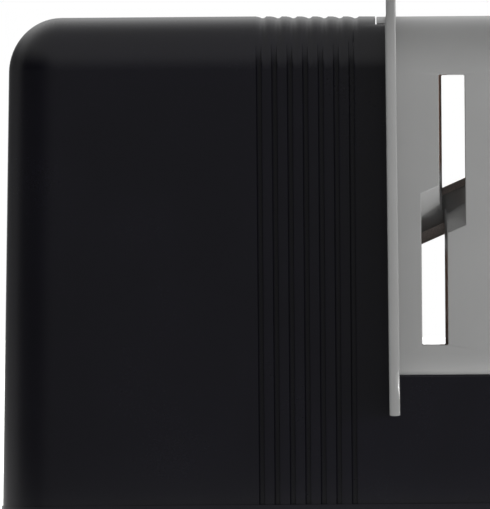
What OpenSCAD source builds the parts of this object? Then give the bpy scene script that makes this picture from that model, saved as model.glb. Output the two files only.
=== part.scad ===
// Table-top scissors sharpener: a black grip housing on a base plate, a grey head with a
// Z-shaped blade slot, a finger guard between them and one tilted ceramic rod in the head.
// Millimetres. X runs from the grip to the head, Y from front to back, Z up from the table.

/* [Housing] */
// Length of the grip from its foot to the finger guard
grip_length = 42.7; // [40:0.1:50]
// Length from the grip's end to the far foot, under the guard and the head
head_length = 18.2; // [17.8:0.1:22]
// Depth of the housing from front to back
body_depth = 27; // [26:0.5:32]
// Height of the housing above the base flange
body_height = 54.1; // [53:0.1:60]
// Height of the plinth under the head, above the base flange
plinth_height = 14.3; // [13:0.1:15]
// Radius of the rounded outer edges
edge_radius = 6; // [5:0.25:6.5]
// Inward lean of both ends, in degrees
end_lean = 1; // [0:0.1:1.4]
// Thickness of the housing's walls
wall = 2.2; // [1.8:0.1:2.6]

/* [Grip grooves] */
// Number of upright grooves on each face of the grip
groove_count = 7; // [3:1:9]
// Distance between neighbouring grooves
groove_pitch = 1.71; // [1.4:0.01:2]
// Width of one groove
groove_width = 0.65; // [0.4:0.05:0.9]
// Depth of one groove
groove_depth = 0.35; // [0.2:0.05:0.5]
// Distance from the finger guard to the nearest groove's middle
groove_margin = 3.8; // [3:0.1:6]

/* [Base plate and feet] */
// Thickness of the flange that shows under the housing
flange_thickness = 1.6; // [1.4:0.1:2.5]
// How far the flange stands out around the housing
flange_lip = 0.3; // [0:0.1:0.8]
// Height of the plug that fills the housing's open foot
plug_height = 2; // [1.6:0.1:3]
// Diameter of a rubber foot
foot_diameter = 7; // [5:0.5:8]
// Distance from the housing's faces to a foot's middle
foot_margin = 4.6; // [4.2:0.1:6]
// Chamfer on a foot's lower edge
foot_chamfer = 0.3; // [0.1:0.05:0.5]
// How far a foot stands out under the base plate
foot_drop = 0.8; // [0.5:0.1:1.5]
// Depth of a foot's recess in the base plate
foot_seat = 0.8; // [0.5:0.1:1.2]

/* [Head] */
// How far the head stands out from the housing's faces, front and back
head_proud = 1; // [0.4:0.1:1.6]
// How much lower the head's top is than the grip's
head_drop = 0.15; // [0:0.05:0.4]
// Chamfer around the head's lower edge
head_chamfer = 1; // [0.4:0.1:1.4]
// Length of the tenons under the head
tenon_length = 3.8; // [3:0.1:4]
// Width of the tenons
tenon_width = 6; // [4:0.5:7]
// Gap between the two tenons
tenon_spacing = 6; // [5:0.5:8]
// Distance from the guard to the tenons
tenon_margin = 1.1; // [0.8:0.1:1.2]
// Thickness of the rib between the slot and the pocket
slot_rib = 1.8; // [1.4:0.1:2]

/* [Blade slot] */
// Width of one arm of the slot
slot_width = 2.88; // [2.4:0.02:3]
// How far each arm passes the plane where the blades meet
slot_lap = 0.42; // [0.4:0.02:0.6]
// Narrowing of each arm's inner wall from the face to the middle
slot_taper = 0.32; // [0.1:0.02:0.36]
// Distance from the guard to the plane where the blades meet
slot_offset = 5; // [4.9:0.1:5.4]
// Height of each arm above and below the rod's middle
slot_reach = 15; // [12:0.5:15.2]
// Height of an arm's end past the rod's axis, at the face
mouth_rise = 2.6; // [2.2:0.1:3]
// Height of the lead-in's knee past the rod's axis
knee_rise = 0.6; // [0.2:0.1:1.2]
// Depth of the knee behind the face
knee_depth = 2; // [1.5:0.1:3]

/* [Ceramic rod] */
// Diameter of the rod
rod_diameter = 4.76; // [4:0.02:5]
// Length of the rod
rod_length = 11.4; // [10.5:0.1:12.5]
// Wall left between the rod's near end and the guard
seat_wall = 0.3; // [0.2:0.05:0.5]
// Wall around the rod's seat in the head's pocket
seat_thickness = 1.6; // [1.2:0.1:2]
// Chamfer on the rod's ends
rod_chamfer = 0.3; // [0.1:0.05:0.5]
// Tilt of the rod in degrees
rod_tilt = 23.5; // [20:0.5:27]
// Height of the rod's middle above the base flange
rod_height = 32.35; // [32:0.05:34]
// How far the rod stands out of the lead-ins in the middle of the head
rod_proud = 0.6; // [0.3:0.1:0.9]
// Running gap all around the rod
rod_gap = 0.05; // [0.02:0.01:0.08]
// Gap at each end of the rod
rod_end_gap = 0.1; // [0.05:0.05:0.2]

/* [Finger guard] */
// Thickness of the guard
guard_thickness = 1.25; // [1:0.05:1.6]
// How far the guard stands out of the housing
guard_stand = 5; // [4:0.1:6]
// Radius of the guard's upper corners
guard_corner = 11; // [8:0.5:14]
// How far the guard's legs reach below the head
leg_length = 4.6; // [3.8:0.1:7]
// Radius at the foot of each leg
leg_corner = 3.6; // [2.5:0.1:3.7]
// Chamfer along the guard's free edge
guard_chamfer = 0.3; // [0.1:0.05:0.4]
// Reach of the lip over the step in the grip's top
lip_reach = 1; // [0.6:0.1:1.4]
// Diameter of the pegs between the guard and the head
peg_diameter = 1.8; // [1.4:0.1:2.2]
// Length of the pegs
peg_length = 1.2; // [0.8:0.1:1.4]
// Distance from the housing's faces to a peg's middle
peg_margin = 6; // [4:0.5:8]
// Height of the lower pegs above the plinth
peg_low_height = 6; // [4:0.5:9]
// Depth of the upper pegs below the head's top
peg_high_depth = 12; // [9:0.5:14]
// Thickness of the lip
lip_thickness = 1; // [0.6:0.1:1.1]
// Open gap between the lip and the end of the step
lip_gap = 0.2; // [0.1:0.05:0.4]

/* [Screws] */
// Diameter of the screws' thread
thread_diameter = 2.2; // [1.8:0.1:2.4]
// Diameter of the screws' heads
screw_head_diameter = 4; // [3.4:0.1:4.2]
// Height of the screws' heads
screw_head_height = 1.4; // [1:0.1:1.6]
// Depth of a sunk head below the face around it
sink_margin = 0.3; // [0.1:0.05:0.5]
// Rounded edge of the screws' heads
screw_edge = 0.4; // [0.2:0.05:0.6]
// Length of the screws' points
screw_point = 1; // [0.6:0.1:1.4]
// Spare depth of a pilot hole past its screw
pilot_spare = 0.5; // [0.3:0.1:0.8]
// Diameter of the bosses for the base screws
boss_diameter = 5.6; // [5:0.1:6.4]
// Distance from the grip's foot to its bosses
grip_boss_inset = 13.4; // [12:0.1:20]
// Distance from the housing's faces to the grip's bosses
grip_boss_margin = 6.5; // [5.5:0.1:8]
// Distance from the far foot to the plinth's boss
plinth_boss_inset = 5; // [4.8:0.1:5.6]
// Distance from the slot's middle to the mount screws
mount_inset = 2.4; // [2.2:0.1:2.6]
// Distance between the two mount screws
mount_spacing = 12; // [10:0.5:15]
// Distance from the pocket's near wall to the clamp screws
clamp_inset = 1.7; // [1.6:0.1:1.9]
// Height of the lower clamp screw above the plinth
clamp_low_height = 9; // [8:0.1:10]
// Depth of the upper clamp screw below the head's top
clamp_high_depth = 8.6; // [7.8:0.1:9]
// Wall around a clamp screw's head
clamp_wall = 0.3; // [0.2:0.1:0.6]
// Length of the base screws under the head
base_screw_length = 9; // [6:0.5:11]
// Length of the mount screws under the head
mount_screw_length = 7; // [5:0.5:8]
// Length of the clamp screws under the head
clamp_screw_length = 20; // [18:0.5:22]

/* [Fits] */
// Gap between pieces that plug into each other
fit_gap = 0.1; // [0.05:0.05:0.2]
// Gap around a thread in its pilot hole
pilot_gap = 0.02; // [0.01:0.01:0.04]
// Gap around a thread in its clearance hole
clearance_gap = 0.2; // [0.1:0.05:0.3]

/* [Hidden] */
body_length = grip_length + head_length;
half_depth = body_depth / 2;
foot_z = foot_drop + flange_thickness;
plug_z = foot_z + plug_height;
base_seat_z = foot_drop + screw_head_height + sink_margin;
plinth_z = foot_z + plinth_height;
top_z = foot_z + body_height;
half_foot = body_length / 2;
half_top = half_foot - (body_height - edge_radius) * tan(end_lean);
half_plinth = half_foot - plinth_height * tan(end_lean);
guard_x = grip_length - half_foot;
head_x = guard_x + guard_thickness;
head_half = half_depth + head_proud;
head_top = top_z - head_drop;
groove_x = guard_x - groove_margin;
rod_x = head_x + slot_offset;
rod_z = foot_z + rod_height;
rod_radius = rod_diameter / 2;
thread_radius = thread_diameter / 2;
pilot_radius = thread_radius + pilot_gap;
clearance_radius = thread_radius + clearance_gap;
screw_head_radius = screw_head_diameter / 2;
sink_radius = screw_head_radius + clearance_gap;
sink_depth = screw_head_height + sink_margin;
foot_radius = foot_diameter / 2;
foot_height = foot_drop + foot_seat;
foot_x = half_foot - foot_margin;
foot_y = half_depth - foot_margin;
grip_boss_x = grip_boss_inset - half_foot;
grip_boss_y = half_depth - grip_boss_margin;
grip_boss_top = top_z - wall / 2;
plinth_boss_x = half_foot - plinth_boss_inset;
plinth_boss_top = plinth_z - wall / 2;
plug_inset = wall + fit_gap;
mount_x = rod_x + mount_inset;
mount_y = mount_spacing / 2;
tenon_x = head_x + tenon_margin;
tenon_y = tenon_spacing / 2;
tenon_drop = wall - fit_gap;
lip_z = top_z - lip_thickness - head_drop;
rod_start = (seat_wall + rod_end_gap + rod_radius * sin(rod_tilt) - slot_offset) / cos(rod_tilt);
pocket_x = rod_x + slot_width - slot_lap + slot_rib;
pocket_end = half_top - wall;
pocket_half = head_half - 1.5 * wall;
clamp_x = pocket_x + clamp_inset;
clamp_low = plinth_z + clamp_low_height;
clamp_high = head_top - clamp_high_depth;
clamp_boss_radius = screw_head_radius + clamp_wall;
clamp_seat_y = head_half - sink_depth;
peg_radius = peg_diameter / 2;
peg_y = half_depth - peg_margin;
peg_low = plinth_z + peg_low_height;
peg_high = head_top - peg_high_depth;
guard_half = half_depth + guard_stand;
guard_top = top_z + guard_stand;
guard_foot = plinth_z - leg_length;
far = 4 * body_length;
sliver = 0.01;
ROUND = 32;
FINE = 64;

// Node to draw, or all of them

// Ball with points on its poles and its equator
module ball(r) {
    rotate_extrude($fn = ROUND)
        intersection() {
            circle(r = r, $fn = ROUND);
            translate([0, -r])
                square([r, 2 * r]);
        }
}

// Housing's outer form, with rounded top and upright edges and leaning ends
module body_form(inset, drop) {
    r = edge_radius - inset;
    hull()
        for (sx = [-1, 1], sy = [-1, 1]) {
            translate([sx * (half_top - edge_radius), sy * (half_depth - edge_radius),
                top_z - edge_radius])
                ball(r);
            translate([sx * (half_foot - edge_radius), sy * (half_depth - edge_radius),
                foot_z - drop])
                cylinder(r = r, h = sliver, $fn = ROUND);
        }
}

// Housing's section across its depth, as Y and Z
module body_section(inset) {
    r = edge_radius - inset;
    translate([inset - half_depth, 0])
        square([2 * (half_depth - inset), top_z - edge_radius]);
    translate([edge_radius - half_depth, 0])
        square([2 * (half_depth - edge_radius), top_z - inset]);
    for (sy = [-1, 1])
        translate([sy * (half_depth - edge_radius), top_z - edge_radius])
            circle(r = r, $fn = FINE);
}

// Carries a section given as Y and Z along X
module along_x(length) {
    rotate([90, 0, 90])
        linear_extrude(length)
            children();
}

// Rounded rectangle, seen from above
module plan(half_length, half_width, r) {
    square([2 * (half_length - r), 2 * half_width], center = true);
    square([2 * half_length, 2 * (half_width - r)], center = true);
    for (sx = [-1, 1], sy = [-1, 1])
        translate([sx * (half_length - r), sy * (half_width - r)])
            circle(r = r, $fn = FINE);
}

// Self-tapping pan-head screw, its seat at the origin and its thread along +Z
module screw(length) {
    rotate_extrude($fn = FINE)
        polygon([[0, -screw_head_height], [screw_head_radius - screw_edge, -screw_head_height],
            [screw_head_radius, screw_edge - screw_head_height], [screw_head_radius, 0],
            [thread_radius, 0], [thread_radius, length - screw_point],
            [thread_radius / 4, length], [0, length]]);
}

// Places of the base screws
module base_screw_places() {
    for (sy = [-1, 1])
        translate([grip_boss_x, sy * grip_boss_y, 0])
            children();
    translate([plinth_boss_x, 0, 0])
        children();
}

// Places of the mount screws
module mount_screw_places() {
    for (sy = [-1, 1])
        translate([mount_x, sy * mount_y, 0])
            children();
}

// Places of the clamp screws, their axis along -Y from the rear
module clamp_screw_places() {
    for (z = [clamp_low, clamp_high])
        translate([clamp_x, 0, z])
            rotate([90, 0, 0])
                children();
}

// Tenons under the head's near end
module tenons(gap) {
    for (sy = [-1, 1])
        translate([tenon_x - gap, sy * (tenon_y + tenon_width / 2) - tenon_width / 2 - gap,
            plinth_z - tenon_drop - 2 * gap])
            cube([tenon_length + 2 * gap, tenon_width + 2 * gap, tenon_drop + head_chamfer]);
}

// Grooves that run up the front, over the top and down the back
module grooves() {
    for (k = [0 : groove_count - 1])
        translate([groove_x - k * groove_pitch - groove_width / 2, 0, 0])
            along_x(groove_width)
                difference() {
                    translate([-far / 2, 1])
                        square([far, far]);
                    body_section(groove_depth);
                }
}

module housing() {
    color([0.02, 0.02, 0.022])
        difference() {
            union() {
                difference() {
                    body_form(0, 0);
                    difference() {
                        body_form(wall, 1);
                        translate([guard_x - wall, -far / 2, plinth_z - wall])
                            cube([far, far, far]);
                    }
                }
                translate([0, 0, plug_z])
                    for (sy = [-1, 1])
                        translate([grip_boss_x, sy * grip_boss_y, 0])
                            cylinder(d = boss_diameter, h = grip_boss_top - plug_z, $fn = FINE);
                translate([plinth_boss_x, 0, plug_z])
                    cylinder(d = boss_diameter, h = plinth_boss_top - plug_z, $fn = FINE);
            }
            translate([guard_x, -far / 2, plinth_z])
                cube([far, far, far]);
            translate([guard_x - lip_reach - lip_gap, -far / 2, lip_z])
                cube([far, far, far]);
            grooves();
            base_screw_places()
                cylinder(r = pilot_radius, h = base_seat_z + base_screw_length + pilot_spare,
                    $fn = FINE);
            mount_screw_places()
                translate([0, 0, plinth_z - 2 * wall])
                    cylinder(r = clearance_radius, h = 3 * wall, $fn = FINE);
            tenons(fit_gap);
        }
}

module base_plate() {
    color([0.02, 0.02, 0.022])
        difference() {
            union() {
                translate([0, 0, foot_drop])
                    linear_extrude(flange_thickness)
                        plan(half_foot + flange_lip, half_depth + flange_lip,
                            edge_radius + flange_lip);
                translate([0, 0, foot_drop])
                    linear_extrude(flange_thickness + plug_height)
                        plan(half_foot - plug_inset, half_depth - plug_inset,
                            edge_radius - plug_inset);
            }
            base_screw_places()
                cylinder(r = clearance_radius, h = far, $fn = FINE);
            base_screw_places()
                cylinder(r = sink_radius, h = base_seat_z, $fn = FINE);
            for (sx = [-1, 1], sy = [-1, 1])
                translate([sx * foot_x, sy * foot_y, 0])
                    cylinder(r = foot_radius + fit_gap, h = foot_height, $fn = FINE);
        }
}

// Rubber disc with a chamfered lower edge
module foot(sx, sy) {
    color([0.05, 0.05, 0.05])
        translate([sx * foot_x, sy * foot_y, 0])
            rotate_extrude($fn = FINE)
                polygon([[0, 0], [foot_radius - foot_chamfer, 0], [foot_radius, foot_chamfer],
                    [foot_radius, foot_height], [0, foot_height]]);
}

module foot_front_left() {
    foot(-1, -1);
}

module foot_front_right() {
    foot(1, -1);
}

module foot_rear_left() {
    foot(-1, 1);
}

module foot_rear_right() {
    foot(1, 1);
}

module base_screws() {
    color([0.7, 0.7, 0.72])
        base_screw_places()
            translate([0, 0, base_seat_z])
                screw(base_screw_length);
}

// Guard's outline as Y and Z
module guard_outline(inset) {
    top = guard_corner - inset;
    low = leg_corner - inset;
    for (sy = [-1, 1]) {
        translate([sy * (guard_half - guard_corner), guard_top - guard_corner])
            circle(r = top, $fn = FINE);
        translate([sy * (guard_half - leg_corner), guard_foot + leg_corner])
            circle(r = low, $fn = ROUND);
    }
}

module finger_guard() {
    color([0.27, 0.27, 0.27]) {
        difference() {
            hull() {
                translate([guard_x + guard_chamfer, 0, 0])
                    along_x(guard_thickness - 2 * guard_chamfer)
                        guard_outline(0);
                translate([guard_x, 0, 0])
                    along_x(guard_thickness)
                        guard_outline(guard_chamfer);
            }
            translate([guard_x - guard_thickness, -half_depth - fit_gap, 0])
                cube([3 * guard_thickness, 2 * (half_depth + fit_gap), plinth_z]);
        }
        translate([guard_x - lip_reach, 0, 0])
            along_x(lip_reach + guard_thickness / 2)
                intersection() {
                    body_section(head_drop);
                    translate([-far / 2, lip_z])
                        square([far, far]);
                }
        for (sy = [-1, 1], z = [peg_low, peg_high])
            translate([head_x - guard_thickness / 2, sy * peg_y, z])
                rotate([0, 90, 0])
                    cylinder(r = peg_radius, h = guard_thickness / 2 + peg_length, $fn = FINE);
    }
}

// One level of the head's outline, flat against the guard and rounded at the far end
module head_level(z, end, inset) {
    r = edge_radius - inset;
    translate([head_x, inset - head_half, z])
        cube([sliver, 2 * (head_half - inset), sliver]);
    for (sy = [-1, 1])
        translate([end - edge_radius, sy * (head_half - edge_radius), z])
            cylinder(r = r, h = sliver, $fn = ROUND);
}

// Head's outer form
module head_form() {
    hull() {
        head_level(plinth_z, half_plinth, head_chamfer);
        head_level(plinth_z + head_chamfer, half_plinth, 0);
        for (sy = [-1, 1]) {
            translate([head_x, sy * (head_half - edge_radius), head_top - edge_radius])
                rotate([0, 90, 0])
                    cylinder(r = edge_radius, h = sliver, $fn = ROUND);
            translate([half_top - edge_radius, sy * (head_half - edge_radius),
                head_top - edge_radius])
                ball(edge_radius);
        }
    }
}

// Lower arm of the blade slot, with the rod's middle at the origin
module slot_arm() {
    reach = head_half + knee_depth;
    outer = slot_width - slot_lap;
    lap = slot_lap + slot_taper * knee_depth / head_half;
    rise = 2 * mouth_rise - knee_rise;
    knee = head_half - knee_depth;
    middle = rod_proud - rod_radius;
    intersection() {
        translate([0, 0, -slot_reach])
            linear_extrude(slot_reach + 2 * rod_diameter)
                polygon([[-outer, -reach], [lap, -reach], [slot_lap - slot_taper, 0],
                    [lap, reach], [-outer, reach]]);
        rotate([0, -rod_tilt, 0])
            rotate([90, 0, 90])
                linear_extrude(far, center = true)
                    polygon([[-reach, -far], [reach, -far], [reach, rise], [knee, knee_rise],
                        [0, middle], [-knee, knee_rise], [-reach, rise]]);
    }
}

// Both arms: the upper one is the lower one turned half around
module blade_slot() {
    translate([rod_x, 0, rod_z])
        for (turn = [0, 180])
            rotate([0, turn, 0])
                slot_arm();
}

// Cylinder on the rod's axis
module rod_space(r, gap) {
    translate([rod_x, 0, rod_z])
        rotate([0, 90 - rod_tilt, 0])
            translate([0, 0, rod_start - gap])
                cylinder(r = r, h = rod_length + 2 * gap, $fn = FINE);
}

// Hollow in the head's far end, around the clamp bosses and the rod's seat
module head_pocket() {
    difference() {
        translate([pocket_x, -pocket_half, plinth_z + wall])
            cube([pocket_end - pocket_x, 2 * pocket_half,
                head_top - edge_radius - plinth_z - wall]);
        clamp_screw_places()
            cylinder(r = clamp_boss_radius, h = far, center = true, $fn = FINE);
        rod_space(rod_radius + seat_thickness, seat_thickness);
    }
}

// Both halves of the head in one, without the clamp screws' holes
module head_block() {
    difference() {
        union() {
            head_form();
            tenons(0);
        }
        head_pocket();
        blade_slot();
        rod_space(rod_radius + rod_gap, rod_end_gap);
        mount_screw_places()
            translate([0, 0, plinth_z - wall])
                cylinder(r = pilot_radius, h = mount_screw_length + pilot_spare, $fn = FINE);
        for (sy = [-1, 1], z = [peg_low, peg_high])
            translate([head_x, sy * peg_y, z])
                rotate([0, 90, 0])
                    cylinder(r = peg_radius + fit_gap, h = 2 * (peg_length + fit_gap),
                        center = true, $fn = FINE);
    }
}

module head_front() {
    color([0.27, 0.27, 0.27])
        difference() {
            head_block();
            translate([-far / 2, 0, -far / 2])
                cube([far, far, far]);
            clamp_screw_places()
                translate([0, 0, -clamp_seat_y])
                    cylinder(r = pilot_radius, h = clamp_screw_length + pilot_spare, $fn = FINE);
        }
}

module head_rear() {
    color([0.27, 0.27, 0.27])
        difference() {
            head_block();
            translate([-far / 2, -far, -far / 2])
                cube([far, far, far]);
            clamp_screw_places()
                translate([0, 0, -far / 2])
                    cylinder(r = clearance_radius, h = far, $fn = FINE);
            clamp_screw_places()
                translate([0, 0, -far / 2 - clamp_seat_y])
                    cylinder(r = sink_radius, h = far / 2, $fn = FINE);
        }
}

module head_clamp_screws() {
    color([0.7, 0.7, 0.72])
        clamp_screw_places()
            translate([0, 0, -clamp_seat_y])
                screw(clamp_screw_length);
}

module head_mount_screws() {
    color([0.7, 0.7, 0.72])
        mount_screw_places()
            translate([0, 0, plinth_z - wall])
                screw(mount_screw_length);
}

module ceramic_rod() {
    color([0.12, 0.11, 0.1])
        translate([rod_x, 0, rod_z])
            rotate([0, 90 - rod_tilt, 0])
                translate([0, 0, rod_start])
                    rotate_extrude($fn = FINE)
                        polygon([[0, 0], [rod_radius - rod_chamfer, 0],
                            [rod_radius, rod_chamfer], [rod_radius, rod_length - rod_chamfer],
                            [rod_radius - rod_chamfer, rod_length], [0, rod_length]]);
}

housing();
base_plate();
foot_front_left();
foot_front_right();
foot_rear_left();
foot_rear_right();
base_screws();
finger_guard();
head_front();
head_rear();
head_clamp_screws();
head_mount_screws();
ceramic_rod();
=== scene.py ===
"""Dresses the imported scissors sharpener: outer skins, finishes, light and the product view.

Sizes of pieces are millimetres in the frame of the solids: X runs from the grip
to the head, Y from the front to the back and Z up from the table. Angles are
degrees. Meshes are made in metres, and the studio is set up in metres.
"""

from __future__ import annotations

import logging
import math
from dataclasses import dataclass
from enum import Enum
from typing import Iterable, Mapping, Optional, Sequence, Union

import bmesh
import bpy
import numpy as np
from bpy.types import ID, Material, Mesh, Node, NodeSocket, NodeTree, Object
from mathutils import Matrix, Vector


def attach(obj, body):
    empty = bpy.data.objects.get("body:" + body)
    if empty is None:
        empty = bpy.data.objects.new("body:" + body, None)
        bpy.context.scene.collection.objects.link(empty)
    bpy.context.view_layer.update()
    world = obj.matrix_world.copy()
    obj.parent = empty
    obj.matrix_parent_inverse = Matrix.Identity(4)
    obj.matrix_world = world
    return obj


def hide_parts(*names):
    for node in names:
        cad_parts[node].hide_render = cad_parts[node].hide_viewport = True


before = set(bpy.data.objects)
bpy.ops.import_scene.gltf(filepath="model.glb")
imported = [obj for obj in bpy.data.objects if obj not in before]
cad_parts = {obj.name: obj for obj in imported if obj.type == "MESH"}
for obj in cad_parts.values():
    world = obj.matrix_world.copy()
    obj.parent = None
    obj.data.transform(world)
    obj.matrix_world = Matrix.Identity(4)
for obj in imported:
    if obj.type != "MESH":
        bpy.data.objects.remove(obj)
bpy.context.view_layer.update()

LOG = logging.getLogger("sharpener")

# One millimetre, and the distance at which two points are one, both in metres
MM = 0.001
SAME_POINT = 1e-6

# Places that more than one piece takes its shape from
ROD_MIDDLE = (18.5, 0.0, 34.75)
ROD_TILT = 23.5
CLAMP_SCREWS = ((24.46, 12.8, 25.7), (24.46, 12.8, 47.75))
BASE_SCREWS = ((-17.05, -7.0, 2.5), (-17.05, 7.0, 2.5), (25.45, 0.0, 2.5))

# Points round the rod and its seat, and over a quarter turn of the big corners
ROD_POINTS = 96
CORNER_POINTS = 17


class Body(Enum):
    """The two bodies that pieces ride on."""

    SHARPENER = "sharpener"
    ROD = "rod"


class Slot(Enum):
    """The record's material slots."""

    BLACK = "black_plastic"
    GREY = "grey_plastic"
    RUBBER = "rubber"
    STEEL = "steel"
    CERAMIC = "ceramic"


class Side(Enum):
    """The two halves of the head; the value is the sign of Y."""

    FRONT = -1
    REAR = 1


class Arm(Enum):
    """The two arms of the blade slot; the value is the sign of their reach in Z."""

    LOWER = -1
    UPPER = 1


class Way(Enum):
    """Directions in which the studio's surroundings change; the middle is between left and right."""

    LEFT = "left"
    MIDDLE = "middle"
    FRONT = "front"
    BACK = "back"
    UP = "up"


# Shader maths


Input = Union["Flow", float, int, tuple]


@dataclass(frozen=True)
class Flow:
    """One output socket that takes Python's arithmetic; each operator adds a Math node."""

    board: Board
    socket: NodeSocket

    def __add__(self, other: Input) -> Flow:
        """Sum of two values."""
        return self.board.math("ADD", self, other)

    __radd__ = __add__

    def __sub__(self, other: Input) -> Flow:
        """This value less the other."""
        return self.board.math("SUBTRACT", self, other)

    def __rsub__(self, other: Input) -> Flow:
        """The other value less this one."""
        return self.board.math("SUBTRACT", other, self)

    def __mul__(self, other: Input) -> Flow:
        """Product of two values."""
        return self.board.math("MULTIPLY", self, other)

    __rmul__ = __mul__

    def __neg__(self) -> Flow:
        """This value with the other sign."""
        return 0 - self

    def __abs__(self) -> Flow:
        """This value without its sign."""
        return self.board.math("ABSOLUTE", self)

    def step(self, low: float, high: float) -> Flow:
        """Smooth step from 0 at low to 1 at high."""
        inputs = {"Value": self, "From Min": low, "From Max": high}
        return self.board.flow("MapRange", inputs, {"interpolation_type": "SMOOTHSTEP"})


def mixed(first: Input, second: Input, share: Flow) -> Flow:
    """The first value, moved towards the second by a share."""
    return first + share * (second - first)


class Board:
    """A node tree that is being filled."""

    def __init__(self, tree: NodeTree) -> None:
        """Empties the tree and keeps it."""
        self.tree = tree
        tree.nodes.clear()

    def node(self, kind: str, inputs: Optional[Mapping] = None, settings: Optional[Mapping] = None) -> Node:
        """Adds any shader node.

        Args:
            kind: the node's type name, without its first two words.
            inputs: numbers, colours or flows for its sockets, by name or place.
            settings: its properties, set before its sockets.

        Returns:
            The new node.
        """
        made = self.tree.nodes.new(f"ShaderNode{kind}")
        for key, value in (settings or {}).items():
            setattr(made, key, value)
        for key, value in (inputs or {}).items():
            self.feed(made.inputs[key], value)
        return made

    def flow(self, kind: str, *given: Optional[Mapping], output: Union[str, int] = 0) -> Flow:
        """Adds any node, from what node takes, and gives its output of a name or place."""
        return Flow(self, self.node(kind, *given).outputs[output])

    def feed(self, socket: NodeSocket, value: Input) -> None:
        """Links a flow to a socket, or sets a plain value on it."""
        if isinstance(value, Flow):
            self.tree.links.new(value.socket, socket)
        else:
            socket.default_value = value

    def math(self, operation: str, *values: Input) -> Flow:
        """Adds one Math node for an operation on values."""
        return self.flow("Math", dict(enumerate(values)), {"operation": operation})

    def places(self) -> Flow:
        """The point on the piece in Object coordinates, in metres."""
        return self.flow("TexCoord", output="Object")

    def axes(self, where: Flow) -> list:
        """The X, Y and Z of some coordinates."""
        return [Flow(self, s) for s in self.node("SeparateXYZ", {0: where}).outputs]

    def rays(self) -> list:
        """Two values of 0 or 1: whether a ray comes from the camera, and whether from a glossy surface."""
        path = self.node("LightPath").outputs
        return [Flow(self, path["Is Camera Ray"]), Flow(self, path["Is Glossy Ray"])]

    def noise(self, where: Flow, pitch: float, detail: float = 2.0, rough: float = 0.5) -> Flow:
        """Fractal noise around 0.5.

        Args:
            where: the coordinates that it reads.
            pitch: the size of one lump in millimetres.
            detail: the number of finer layers.
            rough: the weight of the finer layers.

        Returns:
            The noise value.
        """
        inputs = {"Vector": where, "Scale": 1.0 / (pitch * MM), "Detail": detail, "Roughness": rough}
        return self.flow("TexNoise", inputs)

    def stretched(self, where: Flow, scale: tuple) -> Flow:
        """The coordinates, scaled along each axis."""
        return self.flow("Mapping", {"Vector": where, "Scale": scale})

    def blend(self, share: Input, first: Input, second: Input) -> Flow:
        """Mixes two colours.

        Args:
            share: the second colour's share.
            first: the first colour.
            second: the second colour.

        Returns:
            The mixed colour.
        """
        made = self.node("Mix", {"Factor": share}, {"data_type": "RGBA"})
        colours = (s for s in made.inputs if s.type == "RGBA")
        for socket, colour in zip(colours, (first, second)):
            self.feed(socket, colour)
        return Flow(self, next(s for s in made.outputs if s.type == "RGBA"))

    def bump(self, height: Flow, depth: float) -> Flow:
        """Normal of a relief whose heights from 0 to 1 span a depth in millimetres."""
        return self.flow("Bump", {"Height": height, "Strength": 1.0, "Distance": depth * MM})

    def surface(self, layer: Optional[tuple] = None, **inputs: Input) -> None:
        """Adds a Principled shader, a dull layer over it and the material's output.

        Args:
            layer: the layer's share and its colour.
            inputs: the Principled shader's sockets, with spaces written as underscores.
        """
        named = {key.replace("_", " "): value for key, value in inputs.items()}
        shade = self.flow("BsdfPrincipled", named)
        if layer is not None:
            share, colour = layer
            dull = self.flow("BsdfDiffuse", {"Color": colour})
            shade = self.flow("MixShader", {0: share, 1: shade, 2: dull})
        self.node("OutputMaterial", {"Surface": shade})


# Finishes


def toned(level: float, tint: Sequence[float] = (1.0, 1.0, 1.0)) -> tuple:
    """A colour of one level times a tint, with full alpha."""
    return (level * tint[0], level * tint[1], level * tint[2], 1.0)


@dataclass(frozen=True)
class Finish:
    """A finish: a named material; it carries one of the record's slots, which the script does not read.

    In the finishes, a pitch or a depth is in millimetres, and a span is where a
    noise turns from 0 to 1.
    """

    name: str
    slot: Slot

    def draw(self, board: Board) -> None:
        """Fills the material's nodes; each finish has its own."""
        raise NotImplementedError

    def make(self) -> Material:
        """Makes the material once and hands out the same one afterwards."""
        made = bpy.data.materials.get(self.name)
        if made is None:
            made = bpy.data.materials.new(self.name)
            made.use_nodes = True
            self.draw(Board(made.node_tree))
        return made


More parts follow.
